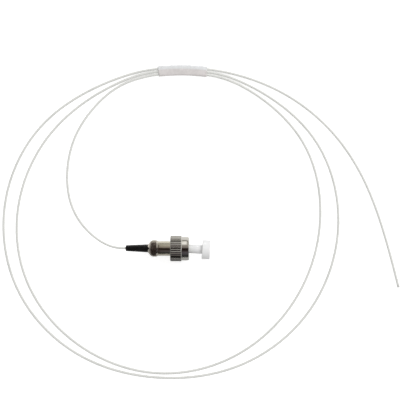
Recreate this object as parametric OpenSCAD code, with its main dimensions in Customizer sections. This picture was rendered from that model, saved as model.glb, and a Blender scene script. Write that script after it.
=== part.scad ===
// Screw-on fibre connector on a metre of tight-buffered pigtail fibre.
//
// The connector lies on its side. Its axis runs along +X from the boot's tip to
// the dust cap, and the origin is under the middle of the connector, on the
// surface it lies on. Places along the axis are counted from the boot's tip.

/* [Buffered fibre] */
// Outer diameter of the buffered fibre
buffer_d = 0.9; // [0.6:0.05:1]
// Diameter of the bare glass fibre in the ferrule
glass_d = 0.125; // [0.1:0.005:0.15]

/* [Boot] */
// Length of the boot
boot_len = 8.6; // [7:0.1:12]
// Diameter of the boot at its tip
boot_tip_d = 2.3; // [1.8:0.05:2.6]
// Diameter of the boot where it meets the rear body
boot_base_d = 3.1; // [2.8:0.05:3.6]
// Rounding at the boot's tip
boot_tip_round = 0.4; // [0.1:0.05:0.5]

/* [Rear body] */
// Diameter of the stub that the boot is pushed over
stub_d = 2.2; // [2:0.05:2.4]
// Length of that stub
stub_len = 3.6; // [2:0.1:5]
// Length of the cone between the boot and the grip ring
cone_len = 0.6; // [0.3:0.05:3]
// Diameter of the grip ring over its diamonds
grip_d = 6.4; // [5.8:0.1:7]
// Length of the grip ring
grip_len = 2.7; // [2:0.05:4]
// Length of the crowned part at the back of the grip ring
crown_len = 1.4; // [0.5:0.05:1.6]
// How far the crowned part falls towards the cone
crown_drop = 0.85; // [0.2:0.05:0.9]
// Diamonds round the grip ring
grip_count = 36; // [24:1:40]
// Rows of whole diamonds along the grip ring
grip_rows = 5; // [3:1:6]
// Depth of the valleys between the diamonds
grip_depth = 0.1; // [0.06:0.01:0.16]
// Length of the chamfer between the grip ring and the barrel
shoulder_len = 0.6; // [0.4:0.05:1.5]
// Length of the spigot that screws into the barrel
spigot_len = 2.55; // [1.5:0.05:3]

/* [Barrel] */
// Outer diameter of the barrel
barrel_d = 5.65; // [5.4:0.05:6]
// Length of the barrel
barrel_len = 10.15; // [9.5:0.05:12]
// Wall round the spring chamber
barrel_wall = 0.5; // [0.4:0.05:0.6]
// Thickness of the barrel's front wall
front_wall = 1; // [0.6:0.05:1.4]
// Diameter of the collar that stops the coupling nut
stop_d = 6.9; // [6.6:0.1:7.2]
// Thickness of that collar
stop_t = 1; // [0.6:0.05:1.4]
// Distance from the collar to the barrel's front face
nose_len = 3; // [2:0.1:4]
// Width of the alignment key
key_w = 2; // [1.5:0.05:2.2]
// Height of the alignment key above the barrel
key_h = 0.5; // [0.3:0.05:0.6]

/* [Ferrule] */
// Diameter of the ceramic ferrule
ferrule_d = 2.5; // [2.4:0.01:2.52]
// How far the ferrule stands out of the barrel
ferrule_reach = 4.2; // [3:0.1:5]
// Chamfer at the ferrule's tip
tip_chamfer = 0.25; // [0.1:0.05:0.4]
// Thickness of the flange that rests on the front wall
flange_t = 1.3; // [0.8:0.1:1.8]
// Wall of the cup round the ferrule's back end
cup_wall = 0.35; // [0.25:0.05:0.4]
// Floor of that cup, behind the ferrule
cup_floor = 0.5; // [0.3:0.1:1]
// Outer diameter of the tail tube behind the cup
tail_d = 1.6; // [1.45:0.05:1.7]
// Length of the tail tube
tail_len = 5; // [3:0.1:5.5]
// How far the ferrule can be pushed back
ferrule_travel = 1.5; // [1:0.1:1.8]

/* [Ferrule spring] */
// Diameter of the spring's wire
wire_d = 0.36; // [0.25:0.01:0.4]
// Turns of the spring
spring_turns = 7; // [6:0.5:8]

/* [Coupling nut] */
// Diameter of the nut over its ribs
nut_d = 9.8; // [9.4:0.1:10.4]
// Length of the nut
nut_len = 7.2; // [6:0.1:8]
// Length of the ribbed grip
knurl_len = 4.4; // [3:0.1:5]
// Ribs round the grip
rib_count = 40; // [24:4:48]
// Depth of the grooves between the ribs
rib_depth = 0.15; // [0.1:0.01:0.2]
// Diameter of the plain band in front of the ribs
band_d = 9.1; // [9:0.05:9.3]
// Length of the rounding at the nut's front rim
rim_len = 0.85; // [0.3:0.05:1.2]
// How far the rounded rim falls inwards
rim_drop = 0.35; // [0.1:0.05:0.4]
// Outside diameter of the nut's thread
thread_d = 8; // [7.8:0.05:8.1]
// Thickness of the lip at the back of the nut
lip_t = 0.9; // [0.6:0.05:1.2]

/* [Retaining ring] */
// Thickness of the retaining ring
ring_t = 0.5; // [0.3:0.05:0.7]
// Depth of its groove in the nut
ring_groove = 0.2; // [0.1:0.05:0.25]
// Width of the gap in the ring
ring_gap = 1.6; // [1:0.1:3]

/* [Dust cap] */
// Wall of the cap's stem
cap_wall = 0.26; // [0.2:0.02:0.32]
// Length of the cap's stem
cap_stem_len = 7.8; // [6.5:0.1:9]
// Diameter of the cap's round head
cap_head_d = 7.4; // [5:0.1:8]
// Thickness of the cap's round head
cap_head_t = 3.1; // [1.5:0.05:4]
// Angle at which the cap sits askew on the ferrule
cap_skew = 3; // [0:0.5:3]

/* [Bundle sleeve] */
// Length of the sleeve round the bundled fibre
sleeve_len = 19; // [10:1:24]
// Width of the flattened sleeve
sleeve_w = 4.1; // [4:0.1:5]
// Wall of the sleeve
sleeve_wall = 0.2; // [0.1:0.05:0.25]

/* [Edges] */
// Chamfer on the turned edges of the barrel and the grip ring
edge = 0.15; // [0.05:0.05:0.2]
// Chamfer on the coupling nut's edges
nut_edge = 0.25; // [0.1:0.05:0.4]
// Lead-in chamfer of the nut's thread
lead_in = 0.1; // [0.05:0.05:0.15]
// Rounding of the dust cap's head
cap_round = 0.3; // [0.1:0.05:0.5]
// Width of the rim round the cap's sunk face
cap_rim = 0.8; // [0.4:0.1:1.5]
// Depth of that sunk face
cap_sunk = 0.6; // [0.2:0.1:1]

/* [Clearances] */
// Radial play of pieces that slide or turn on each other
running_gap = 0.05; // [0.02:0.01:0.08]
// Play between flat faces and in snug seats
seat_gap = 0.02; // [0.01:0.01:0.05]
// Free space round the dust cap in the barrel's front opening
throat_gap = 0.3; // [0.2:0.05:0.4]

/* [Hidden] */
smooth = 72;

// Places along the axis, from the boot's tip towards the cap
cone_x = boot_len;
grip_x = cone_x + cone_len;
shoulder_x = grip_x + grip_len;
barrel_x = shoulder_x + shoulder_len;
face_x = barrel_x + barrel_len;
tip_x = face_x + ferrule_reach;
spigot_x = barrel_x + spigot_len;
seat_x = face_x - front_wall;
stop_x = face_x - nose_len - stop_t;
flange_x = seat_x - seat_gap - flange_t;
cup_x = spigot_x + ferrule_travel + seat_gap;
ferrule_x = cup_x + cup_floor;
tail_x = cup_x - tail_len;
ring_x = stop_x - seat_gap - ring_t;
nut_x = ring_x - seat_gap - lip_t;
cap_x = seat_x + running_gap;
head_x = cap_x + cap_stem_len;
end_x = head_x + cap_head_t;

// Radii that follow from the fits
axis_h = nut_d / 2;
bore_r = buffer_d / 2 + running_gap;
chamber_r = barrel_d / 2 - barrel_wall;
flange_r = chamber_r - running_gap;
cup_r = ferrule_d / 2 + cup_wall;
tail_way_r = tail_d / 2 + running_gap;
spring_r = (chamber_r + cup_r) / 2;
glass_bore_r = glass_d / 2 + 0.005;
lip_r = barrel_d / 2 + 2 * running_gap;
ring_inner_r = barrel_d / 2 + running_gap;
groove_r = thread_d / 2 + ring_groove;
// The cap's bore leaves room for the ferrule to stand askew in it
cap_cover = tip_x - cap_x;
cap_bore_r = ferrule_d / 2 + running_gap / 2 + cap_cover / 2 * tan(cap_skew);
cap_stem_r = cap_bore_r + cap_wall;
throat_r = cap_stem_r + throat_gap;
cone_start_r = boot_base_d / 2 + running_gap;
rib_root_r = nut_d / 2 - rib_depth;

// The fibre's route over the surface: where its guiding points lie, [x, y, height].
// A smooth curve is drawn among them. It leaves the boot, runs up to the sleeve,
// makes two turns that pass through the sleeve side by side, and ends cut off.
lie = buffer_d / 2;
raised = sleeve_wall + seat_gap + buffer_d / 2;
exit = [-end_x / 2, 0, axis_h];
route = [exit, [-20.5, 0, axis_h], [-26, 2, 2.9], [-32, 6.5, 0.8], [-38, 14.5, lie],
    [-40.5, 27, lie], [-38, 43, lie], [-29, 56, lie],
    [-18.5, 64.8, raised], [-3, 68.5, raised], [13, 68.5, raised], [29, 64.8, raised],
    [55.5, 44, lie], [62, 10, lie], [51.5, -22, lie], [27.5, -44.5, lie],
    [-5, -52, lie], [-37, -40, lie], [-58.5, -14, lie], [-61, 19.5, lie],
    [-46, 49, lie],
    [-19, 66.2, raised], [-3, 69.5, raised], [13, 69.5, raised], [29, 66.2, raised],
    [59.5, 46.5, lie], [70, 10, lie], [58.5, -25.5, lie], [30.5, -48, lie],
    [-4, -52.8, lie], [-37.5, -44, lie], [-62.5, -17.5, lie], [-67, 19.5, lie],
    [-50.5, 52, lie],
    [-19, 67.7, raised], [-3, 70.5, raised], [13, 70.5, raised], [29, 67.7, raised],
    [48, 60, lie], [66, 45, lie], [78.5, 24.5, lie], [86, 1, lie], [90, -14.5, lie]];
route_steps = 2;
cord_sides = 8;

// The sleeve follows the bundle: the middle of its arc and the arc's radius
sleeve_mid = [5, 69.4];
sleeve_bend = 80;

// Stands pieces that are modelled along +Z on the connector's axis
module on_axis() {
    translate([-end_x / 2, 0, axis_h]) rotate([0, 90, 0]) children();
}

// A turned piece: an outline of [place along the axis, radius] points
module turned(outline) {
    rotate_extrude($fn = smooth) polygon([for (p = outline) [p[1], p[0]]]);
}

// A round hole or pin along the axis
module round_way(from, to, r) {
    translate([0, 0, from]) cylinder(h = to - from, r = r, $fn = smooth);
}

// Points of a rounded corner in an outline, as long and as deep as the two sizes
function corner(x, r, long, deep, from_a, to_a) =
    [for (k = [0:6]) let (a = from_a + (to_a - from_a) * k / 6)
        [x + long * cos(a), r + deep * sin(a)]];

// The same with a round corner
function quarter(x, r, round_r, from_a, to_a) = corner(x, r, round_r, round_r, from_a, to_a);

// Moulded rubber boot: tapered, with a rounded tip, pushed over the stub
module boot() {
    color("#141516") on_axis() difference() {
        turned(concat([[0, 0]],
            quarter(boot_tip_round, boot_tip_d / 2 - boot_tip_round, boot_tip_round, 180, 95),
            [[boot_len, boot_base_d / 2], [boot_len, 0]]));
        round_way(-1, boot_len + 1, bore_r);
        round_way(boot_len - stub_len - seat_gap, boot_len + 1, stub_d / 2 + seat_gap);
    }
}

// Radius over the grip ring's diamonds at a place: crowned at the back, then level
function grip_r(x) =
    grip_d / 2 - crown_drop * pow(max(0, grip_x + crown_len - x) / crown_len, 2);

// Band of pyramid-shaped diamonds, closed at both ends: tips stand on odd corners
module diamond_band(from, to) {
    around = 2 * grip_count;
    rows = 2 * grip_rows;
    points = [for (j = [0:rows], i = [0:around - 1])
        let (a = 360 * i / around, x = from + (to - from) * j / rows,
            tip = (i + j) % 2 == 1 && j > 0 && j < rows,
            r = grip_r(x) - (tip ? 0 : grip_depth))
        [r * cos(a), r * sin(a), x]];
    // Each cell is split along the valley side, so that its crest is a straight edge
    sides = [for (j = [0:rows - 1], i = [0:around - 1])
        let (k = (i + 1) % around, a = j * around + i, b = j * around + k,
            c = (j + 1) * around + k, d = (j + 1) * around + i)
        each (i + j) % 2 == 0 ? [[a, c, b], [a, d, c]] : [[a, d, b], [b, d, c]]];
    ends = [[for (i = [0:around - 1]) i],
        [for (i = [around - 1:-1:0]) rows * around + i]];
    polyhedron(points, concat(sides, ends), convexity = 4);
}

// Turned rear body: boot stub, cone, diamond grip ring and screwed spigot
module rear_body() {
    back_r = grip_r(grip_x) - grip_depth / 2;
    land_r = grip_d / 2 - grip_depth / 2;
    core_r = back_r - grip_depth - edge;
    color("#b5ab9d") on_axis() difference() {
        union() {
            turned([[boot_len - stub_len, 0], [boot_len - stub_len, stub_d / 2],
                [cone_x, stub_d / 2], [cone_x, cone_start_r],
                [grip_x, back_r], [grip_x + edge, back_r], [grip_x + edge, core_r],
                [shoulder_x - edge, core_r], [shoulder_x - edge, land_r],
                [shoulder_x, land_r], [barrel_x, barrel_d / 2],
                [barrel_x, chamber_r - seat_gap], [spigot_x, chamber_r - seat_gap],
                [spigot_x, 0]]);
            diamond_band(grip_x + edge / 2, shoulder_x - edge / 2);
        }
        round_way(0, spigot_x + 1, bore_r);
        round_way(tail_x - ferrule_travel - running_gap, spigot_x + 1, tail_way_r);
    }
}

// Turned barrel of the plug: spring chamber, stop collar, key and front opening
module plug_barrel() {
    color("#b9b0a2") on_axis() difference() {
        union() {
            turned([[barrel_x, 0], [barrel_x, barrel_d / 2], [stop_x, barrel_d / 2],
                [stop_x, stop_d / 2], [stop_x + stop_t, stop_d / 2],
                [stop_x + stop_t, barrel_d / 2], [face_x - edge, barrel_d / 2],
                [face_x, barrel_d / 2 - edge], [face_x, 0]]);
            // the key points up, towards the adapter's slot
            translate([-barrel_d / 2 - key_h, -key_w / 2, stop_x + stop_t / 2])
                cube([barrel_d / 2, key_w, nose_len + stop_t / 2 - edge]);
        }
        round_way(barrel_x - 1, seat_x, chamber_r);
        round_way(barrel_x, face_x + 1, throat_r);
    }
}

// Place of the spring's wire at turn t: closed end turns, open turns between them
function coil_place(t) =
    let (close = wire_d + seat_gap, from = spigot_x + seat_gap + wire_d / 2,
        to = flange_x - seat_gap - wire_d / 2,
        pitch = (to - from - 2 * close) / (spring_turns - 2))
    t < 1 ? from + close * t
    : t > spring_turns - 1 ? to - close * (spring_turns - t)
    : from + close + pitch * (t - 1);

// Compression spring between the rear body and the ferrule's flange
module ferrule_spring() {
    steps = 16;
    sides = 6;
    rings = spring_turns * steps;
    points = [for (k = [0:rings], s = [0:sides - 1])
        let (a = 360 * k / steps, b = 360 * s / sides,
            r = spring_r + wire_d / 2 * cos(b))
        [r * cos(a), r * sin(a), coil_place(k / steps) + wire_d / 2 * sin(b)]];
    skin = [for (k = [0:rings - 1], s = [0:sides - 1])
        let (n = (s + 1) % sides, a = k * sides + s, b = k * sides + n)
        each [[a, a + sides, b + sides], [a, b + sides, b]]];
    ends = [[for (s = [0:sides - 1]) s],
        [for (s = [sides - 1:-1:0]) rings * sides + s]];
    color("#9a9a98") on_axis() polyhedron(points, concat(skin, ends), convexity = 8);
}

// Metal holder: cup round the ferrule, flange at its front, tail tube behind
module ferrule_holder() {
    color("#a9a49a") on_axis() difference() {
        turned([[tail_x, 0], [tail_x, tail_d / 2], [cup_x, tail_d / 2], [cup_x, cup_r],
            [flange_x, cup_r], [flange_x, flange_r], [seat_x - seat_gap, flange_r],
            [seat_x - seat_gap, 0]]);
        round_way(tail_x - 1, seat_x, bore_r);
        round_way(ferrule_x - seat_gap, seat_x, ferrule_d / 2 + seat_gap / 2);
    }
}

// Ceramic ferrule: ground cylinder with a chamfered tip and a hole for the glass
module ferrule() {
    color("#f1efe8") on_axis() difference() {
        turned([[ferrule_x, 0], [ferrule_x, ferrule_d / 2],
            [tip_x - tip_chamfer, ferrule_d / 2], [tip_x, ferrule_d / 2 - tip_chamfer],
            [tip_x, 0]]);
        round_way(ferrule_x - 1, tip_x + 1, glass_bore_r);
    }
}

// Bare glass fibre, polished flush with the ferrule's tip
module glass_fibre() {
    color("#dfeaf2") on_axis()
        translate([0, 0, ferrule_x]) cylinder(h = tip_x - ferrule_x, d = glass_d, $fn = 24);
}

// The buffered fibre inside the connector, from the boot's tip to the cup
module inner_fibre() {
    color("#f4f4f0") on_axis() cylinder(h = ferrule_x - 2 * seat_gap, d = buffer_d, $fn = 24);
}

// Open spring ring in the nut's groove, which rests on the barrel's stop collar
module retaining_ring() {
    color("#8d8d8b") on_axis() difference() {
        turned([[ring_x, ring_inner_r], [ring_x, groove_r - seat_gap],
            [ring_x + ring_t, groove_r - seat_gap], [ring_x + ring_t, ring_inner_r]]);
        translate([0, -ring_gap / 2, ring_x - 1])
            cube([thread_d, ring_gap, ring_t + 2]);
    }
}

// Outline of the ribbed grip: flat crests, narrow flat roots and sloping sides.
// Corners are given as [share of a rib's pitch, share of the groove's height].
module ribbed_disc() {
    pitch = 360 / rib_count;
    corners = [[0.1, 0], [0.35, 1], [0.65, 1], [0.9, 0]];
    polygon([for (k = [0:rib_count - 1], e = corners)
        let (a = (k + e[0]) * pitch, r = rib_root_r + rib_depth * e[1])
        [r * cos(a), r * sin(a)]]);
}

// Coupling nut: straight-ribbed grip, plain band with a rounded rim, back lip
module coupling_nut() {
    groove = 2 * seat_gap + ring_t;
    band_r = band_d / 2;
    rim_x = nut_x + nut_len;
    color("#b4ada0") on_axis() difference() {
        union() {
            intersection() {
                translate([0, 0, nut_x]) linear_extrude(knurl_len) ribbed_disc();
                turned([[nut_x, 0], [nut_x, nut_d / 2 - nut_edge], [nut_x + nut_edge, nut_d / 2],
                    [nut_x + knurl_len - nut_edge, nut_d / 2],
                    [nut_x + knurl_len, nut_d / 2 - nut_edge], [nut_x + knurl_len, 0]]);
            }
            turned(concat([[nut_x + knurl_len / 2, 0], [nut_x + knurl_len / 2, band_r]],
                corner(rim_x - rim_len, band_r - rim_drop, rim_len, rim_drop, 90, 0),
                [[rim_x, 0]]));
        }
        round_way(nut_x - 1, rim_x, lip_r);
        round_way(nut_x + lip_t, nut_x + lip_t + groove, groove_r);
        round_way(nut_x + lip_t, rim_x + 1, thread_d / 2);
        // lead-in chamfer of the thread
        translate([0, 0, rim_x - lead_in])
            cylinder(h = 2 * lead_in, r1 = thread_d / 2, r2 = thread_d / 2 + 2 * lead_in,
                $fn = smooth);
    }
}

// Moulded cap: thin stem over the ferrule, round head with a sunk face
module dust_cap() {
    head_r = cap_head_d / 2;
    face_r = head_r - cap_rim;
    pivot = (cap_x + tip_x) / 2;
    color("#f3f5f5") on_axis()
        translate([0, 0, pivot]) rotate([cap_skew, 0, 0]) translate([0, 0, -pivot])
        difference() {
            turned(concat([[cap_x, 0], [cap_x, cap_stem_r], [head_x, cap_stem_r]],
                quarter(head_x + cap_round, head_r - cap_round, cap_round, 180, 90),
                quarter(end_x - cap_round, head_r - cap_round, cap_round, 90, 0),
                [[end_x, 0]]));
            round_way(cap_x - 1, tip_x + cap_round, cap_bore_r);
            translate([0, 0, end_x - cap_sunk])
                cylinder(h = 2 * cap_sunk, r1 = face_r - cap_round, r2 = face_r + cap_round,
                    $fn = smooth);
        }
}

// Point at share t of the smooth curve's stretch from guide b to guide c
function curve_point(a, b, c, d, t) =
    (pow(1 - t, 3) * a + (3 * pow(t, 3) - 6 * t * t + 4) * b
        + (3 * (t + t * t - pow(t, 3)) + 1) * c + pow(t, 3) * d) / 6;

// The curve among the guides, which starts and ends on the first and last of them
function smooth_curve(guides, steps) =
    let (n = len(guides),
        g = concat([2 * guides[0] - guides[1]], guides,
            [2 * guides[n - 1] - guides[n - 2]]))
    concat([for (i = [1:n - 1], k = [0:steps - 1])
        curve_point(g[i - 1], g[i], g[i + 1], g[i + 2], k / steps)], [guides[n - 1]]);

// Sweeps a many-sided tube along a curve; its flat sides lie level and upright
module cord(curve, d, sides) {
    last = len(curve) - 1;
    corner_r = d / 2 / cos(180 / sides);
    rings = [for (i = [0:last])
        let (along = curve[min(i + 1, last)] - curve[max(i - 1, 0)],
            t = along / norm(along), across = cross([0, 0, 1], t),
            u = across / norm(across), v = cross(t, u))
        for (s = [0:sides - 1]) let (a = 360 * (s + 0.5) / sides)
            curve[i] + corner_r * (cos(a) * u + sin(a) * v)];
    skin = [for (i = [0:last - 1], s = [0:sides - 1])
        let (n = (s + 1) % sides, a = i * sides + s, b = i * sides + n)
        each [[a, a + sides, b + sides], [a, b + sides, b]]];
    ends = [[for (s = [0:sides - 1]) s],
        [for (s = [sides - 1:-1:0]) last * sides + s]];
    polyhedron(rings, concat(skin, ends), convexity = 10);
}

// The free fibre, from the boot's tip to its cut end
module pigtail_fibre() {
    color("#eeeeea") cord(smooth_curve(route, route_steps), buffer_d, cord_sides);
}

// A flattened tube's section, standing on the surface
module flat_oval(w, h) {
    square([w - h, h], center = true);
    for (side = [-1, 1]) translate([side * (w - h) / 2, 0]) circle(d = h, $fn = 32);
}

// Clear flattened sleeve that bundles the turns, bent along with them
module bundle_sleeve() {
    sleeve_h = 2 * raised;
    turn = sleeve_len / sleeve_bend * 180 / PI;
    color("#dfe3e6", 0.6)
        translate([sleeve_mid[0], sleeve_mid[1] - sleeve_bend, raised])
        rotate([0, 0, 90 - turn / 2]) rotate_extrude(angle = turn, $fn = 180)
        translate([sleeve_bend, 0]) difference() {
            flat_oval(sleeve_w, sleeve_h);
            flat_oval(sleeve_w - 2 * sleeve_wall, sleeve_h - 2 * sleeve_wall);
        }
}

boot();
rear_body();
plug_barrel();
ferrule_spring();
ferrule_holder();
ferrule();
glass_fibre();
inner_fibre();
retaining_ring();
coupling_nut();
dust_cap();
pigtail_fibre();
bundle_sleeve();
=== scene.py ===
# A screw-on fibre connector on a metre of buffered pigtail fibre, in metres.
import math

import bpy
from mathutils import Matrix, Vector


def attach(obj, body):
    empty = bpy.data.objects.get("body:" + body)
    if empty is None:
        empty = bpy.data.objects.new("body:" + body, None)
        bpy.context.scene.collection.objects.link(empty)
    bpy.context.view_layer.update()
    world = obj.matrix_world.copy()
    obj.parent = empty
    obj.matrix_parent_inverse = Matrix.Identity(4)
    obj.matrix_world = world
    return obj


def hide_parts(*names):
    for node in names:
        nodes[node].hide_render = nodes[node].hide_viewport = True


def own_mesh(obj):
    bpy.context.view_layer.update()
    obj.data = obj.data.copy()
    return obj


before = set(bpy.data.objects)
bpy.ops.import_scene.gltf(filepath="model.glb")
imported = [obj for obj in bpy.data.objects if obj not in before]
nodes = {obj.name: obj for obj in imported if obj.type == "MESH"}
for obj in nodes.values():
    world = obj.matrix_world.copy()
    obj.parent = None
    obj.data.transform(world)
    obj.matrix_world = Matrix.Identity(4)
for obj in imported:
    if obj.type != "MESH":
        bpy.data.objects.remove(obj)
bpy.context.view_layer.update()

# ---- Camera ----
# It looks straight down on the table that the connector and its fibre lie on.
lens = bpy.data.cameras.new("overhead")
lens.lens = 100
lens.sensor_width = 36
lens.clip_end = 10
MM = 0.001
camera = bpy.data.objects.new("overhead", lens)
camera.location = (12.2 * MM, 18.84 * MM, 434 * MM)
camera.rotation_euler = (0, 0, math.radians(0.5))
bpy.context.scene.collection.objects.link(camera)
bpy.context.scene.camera = camera
bpy.context.scene.view_settings.view_transform = "Standard"


# ---- Pigtail fibre ----
# Glass fibre in a tight white buffer, 0.9 mm thick and a metre long. It comes out
# of the boot, lies on the table in two loose turns and ends where it was cut off.
class Value:
    """A value that varies over a finish's surface. Sums of values add Math nodes."""

    def __init__(self, tree, socket=None):
        self.tree, self.socket = tree, socket

    def node(self, kind, settings=None, sockets=None, out=0):
        """A node of this kind, with its settings and the numbers or values it takes."""
        made = self.tree.nodes.new("ShaderNode" + kind)
        for name, setting in (settings or {}).items():
            setattr(made, name, setting)
        for name, given in (sockets or {}).items():
            if isinstance(given, Value):
                self.tree.links.new(given.socket, made.inputs[name])
            else:
                made.inputs[name].default_value = given
        return Value(self.tree, made.outputs[out])

    def maths(self, operation, *terms):
        return self.node("Math", {"operation": operation}, dict(enumerate(terms)))

    def __abs__(self):
        return self.maths("ABSOLUTE", self)

    def at_least(self, low):
        """This value, or low where it is less."""
        return self.maths("MAXIMUM", self, low)

    def __add__(self, other):
        return self.maths("ADD", self, other)

    def __sub__(self, other):
        return self.maths("SUBTRACT", self, other)

    def __rsub__(self, other):
        return self.maths("SUBTRACT", other, self)

    def __mul__(self, other):
        return self.maths("MULTIPLY", self, other)

    __radd__, __rmul__ = __add__, __mul__

    def step(self, low, high):
        """0 below low and 1 above high, with a smooth rise between them."""
        return self.node("MapRange", {"interpolation_type": "SMOOTHSTEP"},
                         {"Value": self, "From Min": low, "From Max": high})

    def tint(self, low, high):
        """Colour low where this value is 0 and high where it is 1."""
        low, high = (c if isinstance(c, Value) else (*c, 1) for c in (low, high))
        return self.node("Mix", {"data_type": "RGBA"}, {0: self, 6: low, 7: high}, out=2)

    def place(self):
        """Where a point of the piece is, in metres."""
        return self.node("TexCoord", out=3)

    def stretched(self, scale):
        """This place, with its axes scaled apart."""
        return self.node("VectorMath", {"operation": "MULTIPLY"}, {0: self, 1: scale})

    def noise(self, scale, detail=3, rough=0.5):
        """Cloudy value from 0 to 1 at this place, scale clouds to the metre."""
        return self.node("TexNoise", None, {"Vector": self, "Scale": scale,
                                            "Detail": detail, "Roughness": rough})

    def parts(self):
        """x, y and z of this place."""
        x = self.node("SeparateXYZ", None, {0: self})
        outs = x.socket.node.outputs
        return x, Value(self.tree, outs[1]), Value(self.tree, outs[2])

    def from_axis(self):
        """Distance of this place from the connector's axis, in metres."""
        flat = self.node("VectorMath", {"operation": "MULTIPLY_ADD"},
                         {0: self, 1: (0, 1, 1), 2: (0, 0, -AXIS_H)})
        return self.node("VectorMath", {"operation": "LENGTH"}, {0: flat}, out=1)

    def bump(self, height, depth, strength):
        """Surface direction with this relief, depth metres deep, pressed into it."""
        return self.node("Bump", None, {"Height": height, "Distance": depth,
                                        "Strength": strength})


AXIS_H = 4.9 * MM  # height of the connector's axis over the table


def finish(name, constants):
    """A material with its fixed numbers, the place on the piece, and vary().

    vary() takes the values that change over the piece, by the name of their socket."""
    material = bpy.data.materials.new(name)
    material.use_nodes = True
    tree = material.node_tree
    shader = tree.nodes["Principled BSDF"]
    for socket, number in constants.items():
        shader.inputs[socket].default_value = number

    def vary(**values):
        for socket, value in values.items():
            tree.links.new(value.socket, shader.inputs[socket.replace("_", " ")])

    return material, Value(tree).place(), vary


def coat(piece, material):
    """Puts one material over the whole piece."""
    piece.data.materials.clear()
    piece.data.materials.append(material)


def new_piece(name, points, faces, material):
    """A smooth-shaded mesh piece."""
    mesh = bpy.data.meshes.new(name)
    mesh.from_pydata([tuple(p) for p in points], [], faces)
    mesh.update()
    for face in mesh.polygons:
        face.use_smooth = True
    piece = bpy.data.objects.new(name, mesh)
    bpy.context.scene.collection.objects.link(piece)
    mesh.materials.append(material)
    return piece


def smooth_route(guides, steps):
    """Points of the smooth curve among the guides, which ends on the last of them."""
    g = [Vector(p) for p in guides]
    g = [2 * g[0] - g[1]] + g + [2 * g[-1] - g[-2]]
    points = []
    for a, b, c, d in zip(g, g[1:], g[2:], g[3:]):
        for k in range(steps):
            t = k / steps
            points.append(((1 - t) ** 3 * a + (3 * t ** 3 - 6 * t * t + 4) * b
                           + (3 * (t + t * t - t ** 3) + 1) * c + t ** 3 * d) / 6)
    return points + [g[-2]]


def tube(path, radii, sides, up=Vector((0, 0, 1))):
    """Points and faces of a round tube with the radius given at each point of path."""
    points, faces = [], []
    for i, (centre, radius) in enumerate(zip(path, radii)):
        along = (path[min(i + 1, len(path) - 1)] - path[max(i - 1, 0)]).normalized()
        across = up.cross(along).normalized()
        above = along.cross(across)
        for s in range(sides):
            a = 2 * math.pi * (s + 0.5) / sides
            points.append(centre + radius * (math.cos(a) * across + math.sin(a) * above))
    for i in range(len(path) - 1):
        for s in range(sides):
            n = (s + 1) % sides
            faces.append((i * sides + s, i * sides + n,
                          (i + 1) * sides + n, (i + 1) * sides + s))
    faces.append(tuple(range(sides - 1, -1, -1)))
    faces.append(tuple((len(path) - 1) * sides + s for s in range(sides)))
    return points, faces


def buffer_finish():
    """White buffer: faintly warm, with soft gloss and the ripple of extrusion."""
    material, place, vary = finish("buffer_coat", {"IOR": 1.48, "Coat Roughness": 0.25})
    mottle = place.noise(900, 4)
    rub = place.noise(140, 3, 0.6).step(0.45, 0.75)
    vary(Base_Color=(rub * 0.6 + mottle * 0.4).tint((0.80, 0.80, 0.77), (0.70, 0.71, 0.68)),
         Roughness=0.34 + 0.14 * mottle,
         Normal=place.bump(place.noise(2600, 2), 0.02 * MM, 0.4))
    return material


buffer_d = 0.9 * MM
lie, raised = 0.45, 0.67  # heights of its middle on the table and in the sleeve
end = 16.3  # from the boot's rear end to the middle of the connector
route = [(-end, 0, 4.9), (-20.5, 0, 4.9), (-26, 2, 2.9), (-32, 6.5, 0.8), (-38, 14.5, lie),
         (-40.5, 27, lie), (-38, 43, lie), (-29, 56, lie),
         (-18.5, 64.8, raised), (-3, 68.5, raised), (13, 68.5, raised), (29, 64.8, raised),
         (55.5, 44, lie), (62, 10, lie), (51.5, -22, lie), (27.5, -44.5, lie),
         (-5, -52, lie), (-37, -40, lie), (-58.5, -14, lie), (-61, 19.5, lie),
         (-46, 49, lie),
         (-19, 66.2, raised), (-3, 69.5, raised), (13, 69.5, raised), (29, 66.2, raised),
         (59.5, 46.5, lie), (70, 10, lie), (58.5, -25.5, lie), (30.5, -48, lie),
         (-4, -52.8, lie), (-37.5, -44, lie), (-62.5, -17.5, lie), (-67, 19.5, lie),
         (-50.5, 52, lie),
         (-19, 67.7, raised), (-3, 70.5, raised), (13, 70.5, raised), (29, 67.7, raised),
         (48, 60, lie), (66, 45, lie), (78.5, 24.5, lie), (86, 1, lie), (90, -14.5, lie)]
centreline = [p * MM for p in smooth_route(route, 10)]
white_buffer = buffer_finish()
points, faces = tube(centreline, [buffer_d / 2] * len(centreline), 16)
fibre = new_piece("buffered_fibre", points, faces, white_buffer)
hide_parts("pigtail_fibre")
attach(fibre, "plug")


# ---- Bundle sleeve ----
# Short clear tube of soft plastic, flattened over the three runs of fibre. It is
# slipped on before the turns are wound and holds them side by side.
def sleeve_section(w, h):
    """Points round a flattened tube: two level sides and two round ends."""
    flat, r = (w - h) / 2, h / 2
    ring = []
    for k in range(around):
        a = 2 * math.pi * (k + 0.5) / around
        ring.append((r * math.cos(a) + math.copysign(flat, math.cos(a)), r * math.sin(a)))
    return ring


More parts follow.
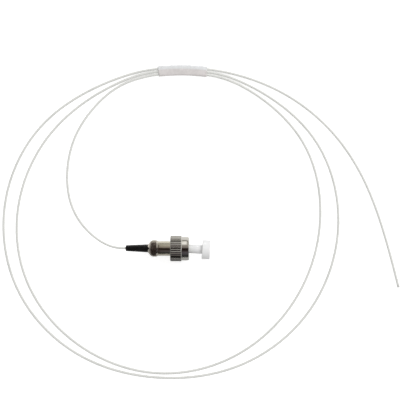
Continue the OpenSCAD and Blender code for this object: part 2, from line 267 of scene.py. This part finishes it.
sleeve_mid, sleeve_bend = (5 * MM, 69.4 * MM), 80 * MM
sleeve_len, sleeve_w, sleeve_h, sleeve_wall = 19 * MM, 4.1 * MM, 1.34 * MM, 0.2 * MM
end_lean, sag_deep, sag_pitch = 0.06, 0.02 * MM, 1.05 * MM
slices, around = 40, 40
points, faces = [], []
outer = sleeve_section(sleeve_w, sleeve_h)
inner = sleeve_section(sleeve_w - 2 * sleeve_wall, sleeve_h - 2 * sleeve_wall)
for i in range(slices + 1):
    share = i / slices - 0.5
    for ring in (outer, inner):
        for across, up in ring:
            # the cut ends lean a little, and the level sides sag between the fibres
            turn = math.pi / 2 - (share * sleeve_len - end_lean * across) / sleeve_bend
            sag = sag_deep * math.cos(2 * math.pi * across / sag_pitch) - sag_deep
            if ring is inner or up < 0 or abs(across) >= (sleeve_w - sleeve_h) / 2:
                sag = 0
            r = sleeve_bend + across
            points.append((sleeve_mid[0] + r * math.cos(turn),
                           sleeve_mid[1] - sleeve_bend + r * math.sin(turn),
                           sleeve_h / 2 + up + sag))
for i in range(slices):
    for wall, flip in ((0, False), (around, True)):
        for s in range(around):
            n = (s + 1) % around
            a, b = i * 2 * around + wall, (i + 1) * 2 * around + wall
            face = (a + s, a + n, b + n, b + s)
            faces.append(face[::-1] if flip else face)
for base, flip in ((0, False), (slices * 2 * around, True)):
    for s in range(around):
        n = (s + 1) % around
        face = (base + s, base + around + s, base + around + n, base + n)
        faces.append(face[::-1] if flip else face)
clear, place, vary = finish("clear_sleeve", {"IOR": 1.46, "Roughness": 0.3})
haze = place.noise(420, 4, 0.6)
# painted shade: over the fibres the sleeve is a darker pinkish grey, standing in for the shaded
# fibres seen through it, and beside them, on its outer edge, it is pale and empty
centred = place.node("VectorMath", {"operation": "SUBTRACT"},
                     {0: place, 1: (sleeve_mid[0], sleeve_mid[1] - sleeve_bend, 0)})
reach = place.node("VectorMath", {"operation": "LENGTH"},
                   {0: centred.stretched((1, 1, 0))}, out=1)
empty = reach.step(sleeve_bend + 0.2 * MM, sleeve_bend + 0.8 * MM)
full = haze.tint((0.85, 0.81, 0.80), (0.93, 0.89, 0.88))
vary(Base_Color=empty.tint(full, (0.96, 0.97, 0.98)),
     Alpha=0.55 + 0.25 * haze,
     Roughness=0.18 + 0.2 * haze,
     Normal=place.bump(place.stretched((0.3, 1, 1)).noise(1500, 3), 0.06 * MM, 0.6))
sleeve = new_piece("clear_bundle_sleeve", points, faces, clear)
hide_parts("bundle_sleeve")
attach(sleeve, "plug")


# ---- Boot ----
# Tapered sleeve of black rubber, moulded in one piece and pushed over the rear
# body's stub. It keeps the fibre from bending sharply where it leaves.
rubber, place, vary = finish("boot_rubber", {"IOR": 1.5})
bloom = place.noise(700, 4, 0.6)
grain = place.noise(5200, 3, 0.6)
vary(Base_Color=bloom.step(0.35, 0.75).tint((0.005, 0.0052, 0.0055), (0.013, 0.0135, 0.014)),
     Roughness=0.32 + 0.16 * bloom,
     Normal=place.bump(grain, 0.012 * MM, 0.7))
coat(nodes["boot"], rubber)


# ---- Rear body ----
# One turned brass piece under nickel: a stub for the boot, a cone, a grip ring
# rolled with a diamond knurl, a chamfer, and a spigot that screws into the barrel.
def nickel(name):
    """Nickel plate over turned metal, with its fine lathe lines and faint stains."""
    material, place, vary = finish(name, {"Metallic": 1.0})
    lines = place.stretched((1, 0.03, 0.03)).noise(6000, 2)
    stain = place.noise(420, 4, 0.6).step(0.4, 0.75)
    return material, place, vary, lines, stain


def along(from_boot):
    """Place on the X axis, from the millimetres past the boot's rear end."""
    return (from_boot - end) * MM


plate, place, vary, lines, stain = nickel("nickel_knurled")
x, _, z = place.parts()
grip_from, grip_to = along(9.3), along(11.8)
crown_end, crown_len, crown_drop = along(10.6), 1.4 * MM, 0.85 * MM
grip_r, knurl_deep = 3.2 * MM, 0.1 * MM
back = (crown_end - x).at_least(0) * (1 / crown_len)
knurl_top = grip_r - crown_drop * back * back
above = place.from_axis() - knurl_top
valley = 1 - above.step(-knurl_deep, -0.2 * knurl_deep)
on_grip = x.step(grip_from - 0.1 * MM, grip_from) * (1 - x.step(grip_to, grip_to + 0.1 * MM))
soil = place.noise(900, 3).step(0.3, 0.7)
# painted shade: the top and underside are browned dark, standing in for the dark reflection
# they show, and the sides stay bright; the knurl's valleys and a little soil darken it too
painted_top_and_bottom_shade = abs(z - AXIS_H).step(1.85 * MM, 2.35 * MM) * x.step(along(9.35), along(9.8))
soil_and_painted_shade = on_grip * (0.1 + 0.15 * valley + painted_top_and_bottom_shade * (0.45 + 0.1 * valley + 0.2 * soil))
colour = stain.tint((0.70, 0.66, 0.60), (0.62, 0.57, 0.50))
# painted shade with some soil: the grip's colour is mixed towards dark brown by that mask
vary(Base_Color=soil_and_painted_shade.tint(colour, (0.12, 0.075, 0.06)),
     Roughness=0.10 + 0.06 * lines + 0.12 * soil_and_painted_shade,
     Normal=place.bump(lines, 0.003 * MM, 0.4))
coat(nodes["rear_body"], plate)

# ---- Barrel ----
# Turned and plated tube that holds the ferrule and its spring. A collar near its
# front stops the coupling nut, and a key finds the slot in the adapter.
plate, place, vary, lines, stain = nickel("nickel")
vary(Base_Color=stain.tint((0.72, 0.68, 0.58), (0.66, 0.61, 0.50)),
     Roughness=0.06 + 0.05 * lines + 0.05 * stain,
     Normal=place.bump(lines, 0.003 * MM, 0.4))
coat(nodes["plug_barrel"], plate)

# ---- Ferrule spring ----
# Seven turns of drawn steel wire between the rear body and the ferrule's flange.
steel, place, vary = finish("spring_steel", {"Metallic": 1.0})
drawn = place.noise(2500, 3)
vary(Base_Color=drawn.tint((0.42, 0.42, 0.42), (0.55, 0.54, 0.52)),
     Roughness=0.22 + 0.16 * drawn,
     Normal=place.bump(drawn, 0.004 * MM, 0.5))
wire_d, spring_r = 0.36 * MM, 1.9625 * MM
turns, per_turn = 7, 32
back, front = along(15.25), along(20.13)
closed = wire_d + 0.02 * MM  # from turn to turn at the two ends
pitch = (front - back - 2 * closed) / (turns - 2)
helix = []
for k in range(turns * per_turn + 1):
    t = k / per_turn
    if t < 1:
        x = back + closed * t
    elif t > turns - 1:
        x = front - closed * (turns - t)
    else:
        x = back + closed + pitch * (t - 1)
    a = 2 * math.pi * t
    helix.append(Vector((x, -spring_r * math.sin(a), AXIS_H - spring_r * math.cos(a))))
points, faces = tube(helix, [wire_d / 2] * len(helix), 10, Vector((1, 0, 0)))
spring = new_piece("coiled_spring", points, faces, steel)
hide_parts("ferrule_spring")
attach(spring, "plug")
travel = 1.5 * MM  # of the ferrule when it is pushed back
spring_back, spring_front = back - wire_d / 2, front + wire_d / 2
1 - travel / (spring_front - spring_back)
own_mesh(spring)

# ---- Ferrule holder ----
# Turned metal: a cup that the ferrule is pressed into, a flange that rests on the
# barrel's front wall, and a tail tube that the fibre is glued in.
holder_plate, place, vary, lines, stain = nickel("nickel_holder")
vary(Base_Color=stain.tint((0.58, 0.55, 0.49), (0.50, 0.46, 0.40)),
     Roughness=0.16 + 0.1 * lines,
     Normal=place.bump(lines, 0.003 * MM, 0.4))
coat(nodes["ferrule_holder"], holder_plate)

# ---- Ferrule and glass fibre ----
# White ceramic rod, ground round and polished at its tip, with the bare glass
# fibre glued into the hole along its middle and polished flush with it.
ceramic, place, vary = finish("ceramic", {"IOR": 2.1, "Coat Weight": 0.2})
ground = place.stretched((1, 0.05, 0.05)).noise(5000, 2)
cloud = place.noise(600, 3)
vary(Base_Color=cloud.tint((0.86, 0.85, 0.80), (0.80, 0.79, 0.73)),
     Roughness=0.14 + 0.1 * ground,
     Normal=place.bump(ground, 0.002 * MM, 0.4))
coat(nodes["ferrule"], ceramic)
glass, place, vary = finish("fibre_glass", {"IOR": 1.46, "Transmission Weight": 0.6})
vary(Base_Color=place.noise(3000, 2).tint((0.75, 0.85, 0.92), (0.82, 0.90, 0.95)),
     Roughness=0.05 + 0.05 * place.noise(6000, 2))
coat(nodes["glass_fibre"], glass)

# ---- Fibre inside the connector ----
# The buffered fibre runs on through the boot and the tail tube up to the cup.
inside = [Vector((x * MM, 0, AXIS_H)) for x in (-end, -10, -4, 17.03 - end)]
points, faces = tube(inside, [buffer_d / 2] * len(inside), 24)
inner = new_piece("fibre_in_connector", points, faces, white_buffer)
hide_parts("inner_fibre")
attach(inner, "plug")
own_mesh(inner)

# ---- Retaining ring ----
# Open ring of spring steel, squeezed into a groove in the nut. It catches on the
# barrel's collar, so that the nut turns and slides but can't come off.
coat(nodes["retaining_ring"], steel)

# ---- Coupling nut ----
# Turned from bar and plated: a grip with straight ribs, a plain band with a round
# rim, and an inside thread that screws onto the adapter.
nut_plate, place, vary, lines, stain = nickel("nickel_nut")
root_r, crest_r, grip_end = 4.75 * MM, 4.9 * MM, along(21.61)
# painted shade: the grooves between the ribs are darkened, and the whole ribbed grip a little,
# but not what is nearer the axis
radius = place.from_axis()
groove = (1 - radius.step(root_r, crest_r - 0.02 * MM)) * radius.step(4.58 * MM, 4.64 * MM)
on_ribs = 1 - place.parts()[0].step(grip_end - 0.3 * MM, grip_end - 0.2 * MM)
painted_rib_shade = on_ribs * (0.1 + 0.9 * groove)
colour = stain.tint((0.73, 0.715, 0.68), (0.66, 0.64, 0.60))
# painted shade: the ribs are mixed towards dark grey by that mask
vary(Base_Color=(painted_rib_shade * 0.7).tint(colour, (0.10, 0.095, 0.085)),
     Roughness=0.08 + 0.05 * lines + 0.1 * painted_rib_shade,
     Normal=place.bump(lines, 0.003 * MM, 0.4))
coat(nodes["coupling_nut"], nut_plate)
thread_r, thread_deep, thread_pitch = 4.03 * MM, 0.43 * MM, 0.75 * MM
thread_from, thread_turns, per_turn = along(19.6), 5.7, 60
points, faces = [], []
steps = round(thread_turns * per_turn)
ridge = ((-0.30, 0), (-0.06, 1), (0.06, 1), (0.30, 0))  # in pitches, and root or crest
run_out = 15  # steps over which the ridge sinks away at each end
for k in range(steps + 1):
    a = 2 * math.pi * k / per_turn
    full = min(1, k / run_out, (steps - k) / run_out)
    for dx, deep in ridge:
        x = thread_from + thread_pitch * (k / per_turn + dx)
        r = thread_r - thread_deep * deep * (0.08 + 0.92 * full)
        points.append((x, r * math.sin(a), AXIS_H + r * math.cos(a)))
for k in range(steps):
    for s in range(4):
        n = (s + 1) % 4
        faces.append((4 * k + s, 4 * k + 4 + s, 4 * k + 4 + n, 4 * k + n))
faces += [(0, 1, 2, 3), tuple(4 * steps + s for s in (3, 2, 1, 0))]
thread = new_piece("nut_thread", points, faces, nut_plate)
for face in thread.data.polygons:
    face.use_smooth = False
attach(thread, "nut")

# ---- Dust cap ----
# Milky soft plastic, moulded in one piece and pushed over the ferrule: a thin stem
# and a round head to pull it off by.
milky, place, vary = finish("cap_plastic", {"IOR": 1.45, "Transmission Weight": 0.08})
flow = place.noise(350, 4, 0.6)
vary(Base_Color=flow.tint((0.97, 0.97, 0.97), (0.93, 0.93, 0.93)),
     Roughness=0.34 + 0.14 * flow,
     Normal=place.bump(place.noise(3000, 3), 0.01 * MM, 0.5))
coat(nodes["dust_cap"], milky)

# ---- Table and light ----
# A white table, an even pale room and one soft lamp over the far right. Cards
# that only the metal's reflections see make the near side of the room dark.
table_mesh = bpy.data.meshes.new("white_table")
side = 3.0  # half its width
table_mesh.from_pydata([(-side, -side, 0), (side, -side, 0), (side, side, 0), (-side, side, 0)],
                       [], [(0, 1, 2, 3)])
table = bpy.data.objects.new("white_table", table_mesh)
bpy.context.scene.collection.objects.link(table)
table.location.z = -0.02 * MM
white = bpy.data.materials.new("white_table")
white.use_nodes = True
tree = white.node_tree
shader = tree.nodes["Principled BSDF"]
shader.inputs["Roughness"].default_value = 0.9
shader.inputs["Specular IOR Level"].default_value = 0.0
here = Value(tree)
grain = here.place().noise(60, 3)
tree.links.new(grain.tint((0.80, 0.80, 0.80), (0.82, 0.82, 0.82)).socket,
               shader.inputs["Base Color"])
ray = tree.nodes.new("ShaderNodeLightPath").outputs
seen = (Value(tree, ray["Is Camera Ray"]) + Value(tree, ray["Is Glossy Ray"])
        + Value(tree, ray["Is Transmission Ray"]))
lift = here.node("Emission", None, {"Color": seen.tint((0, 0, 0), (0.62, 0.62, 0.62))})
both = here.node("AddShader", None, {0: Value(tree, shader.outputs[0]), 1: lift})
tree.links.new(both.socket, tree.nodes["Material Output"].inputs["Surface"])
table_mesh.materials.append(white)

world = bpy.data.worlds.new("pale_room")
world.use_nodes = True
bpy.context.scene.world = world
tree = world.node_tree
ray = tree.nodes.new("ShaderNodeLightPath").outputs
seen = Value(tree, ray["Is Camera Ray"])
tree.links.new(seen.tint((0.6, 0.6, 0.6), (1, 1, 1)).socket,
               tree.nodes["Background"].inputs["Color"])


# the lamp is aimed at the connector, and only matt surfaces see it
light = bpy.data.lights.new("soft_lamp", "AREA")
light.size, light.energy = 0.5, 5
lamp = bpy.data.objects.new("soft_lamp", light)
bpy.context.scene.collection.objects.link(lamp)
lamp.location = (0.45, 0.55, 0.75)
lamp.rotation_euler = (-lamp.location).to_track_quat("-Z", "Y").to_euler()
lamp.visible_camera = False
lamp.visible_glossy = False


def card(name, rows):
    """A card that only the metal's reflections see.

    Each row gives its two end points and the shade it has there."""
    mesh = bpy.data.meshes.new(name)
    mesh.from_pydata([point for row in rows for point in row[:2]], [],
                     [(2 * k, 2 * k + 1, 2 * k + 3, 2 * k + 2) for k in range(len(rows) - 1)])
    shades = mesh.color_attributes.new("shade", "FLOAT_COLOR", "POINT")
    for k, row in enumerate(rows):
        shades.data[2 * k].color = shades.data[2 * k + 1].color = (*row[2], 1)
    made = bpy.data.objects.new(name, mesh)
    bpy.context.scene.collection.objects.link(made)
    paint = bpy.data.materials.new(name)
    paint.use_nodes = True
    here = Value(paint.node_tree)
    shade = here.node("Attribute", {"attribute_name": "shade"})
    glow = here.node("Emission", None, {"Color": shade})
    here.tree.links.new(glow.socket, here.tree.nodes["Material Output"].inputs["Surface"])
    mesh.materials.append(paint)
    for seen_by in ("camera", "diffuse", "transmission", "volume_scatter", "shadow"):
        setattr(made, "visible_" + seen_by, False)


def arched(stops, distance, from_x, to_x):
    """Rows of a card arched over the connector, from stops of [angle, shade].

    Angles are from straight up, and those over the far side are positive."""
    rows, steps = [], 4
    for (a, low), (b, high) in zip(stops, stops[1:]):
        for k in range(steps):
            t = math.radians(a + (b - a) * k / steps)
            y, z = distance * math.sin(t), AXIS_H + distance * math.cos(t)
            rows.append(((from_x, y, z), (to_x, y, z),
                         [p + (q - p) * k / steps for p, q in zip(low, high)]))
    return rows


room, near = 0.8, 25 * MM  # half the room's length, and the close cards' distance
card("ceiling", arched([
    (-89, (0.026, 0.027, 0.025)), (-66, (0.038, 0.039, 0.038)), (-50, (0.08, 0.075, 0.085)),
    (-32, (0.09, 0.078, 0.085)), (-22, (0.05, 0.04, 0.04)), (-12, (0.02, 0.013, 0.012)),
    (7, (0.015, 0.0087, 0.0055)), (7.5, (0.20, 0.18, 0.165)), (16, (0.24, 0.21, 0.195)),
    (32, (0.36, 0.33, 0.30)), (48, (0.48, 0.46, 0.42)), (70, (0.50, 0.49, 0.46)),
    (80, (0.45, 0.44, 0.40)), (82, (0.25, 0.24, 0.20)), (90, (0.22, 0.21, 0.17))],
    0.5, -room, room))
card("bright_window", arched([(36, (0.5, 0.48, 0.44)), (44, (1.1, 1.08, 1.03)),
                              (70, (1.1, 1.08, 1.03)), (74, (0.6, 0.58, 0.5))],
                             near, 5.0 * MM, 7.5 * MM))
dark = (0.02, 0.015, 0.012)
card("end_wall", [((-room, -0.6, 0), (-room, 0.6, 0), dark),
                  ((-room, -0.6, 0.5), (-room, 0.6, 0.5), dark)])
card("brown_shade", arched([(-88, (0.035, 0.025, 0.02)), (-20, (0.045, 0.03, 0.025)),
                            (88, (0.055, 0.04, 0.033))], near, -60 * MM, -4.2 * MM))
card("rib_window", arched([(30, (0.4, 0.38, 0.36)), (44, (0.8, 0.78, 0.75)),
                           (72, (0.8, 0.78, 0.75))], near, 0.6 * MM, 5.0 * MM))


def floor_strip(name, stops):
    """A strip of the table, from stops of [distance from the axis, shade]."""
    level = -0.01 * MM
    card(name, [((-room, y, level), (room, y, level), shade) for y, shade in stops])


# painted shadow: on the near side the table strip is grey, standing in for the shadow there,
# and near black far off; only reflections see it
floor_strip("near_table", [(-0.6, (0.03, 0.03, 0.03)), (-110 * MM, (0.03, 0.03, 0.03)),
                           (-65 * MM, (0.38, 0.38, 0.37)), (-1 * MM, (0.42, 0.42, 0.41))])
floor_strip("far_table", [(1 * MM, (0.86, 0.85, 0.82)), (80 * MM, (0.80, 0.79, 0.76)),
                          (120 * MM, (0.22, 0.21, 0.18)), (0.6, (0.20, 0.19, 0.16))])
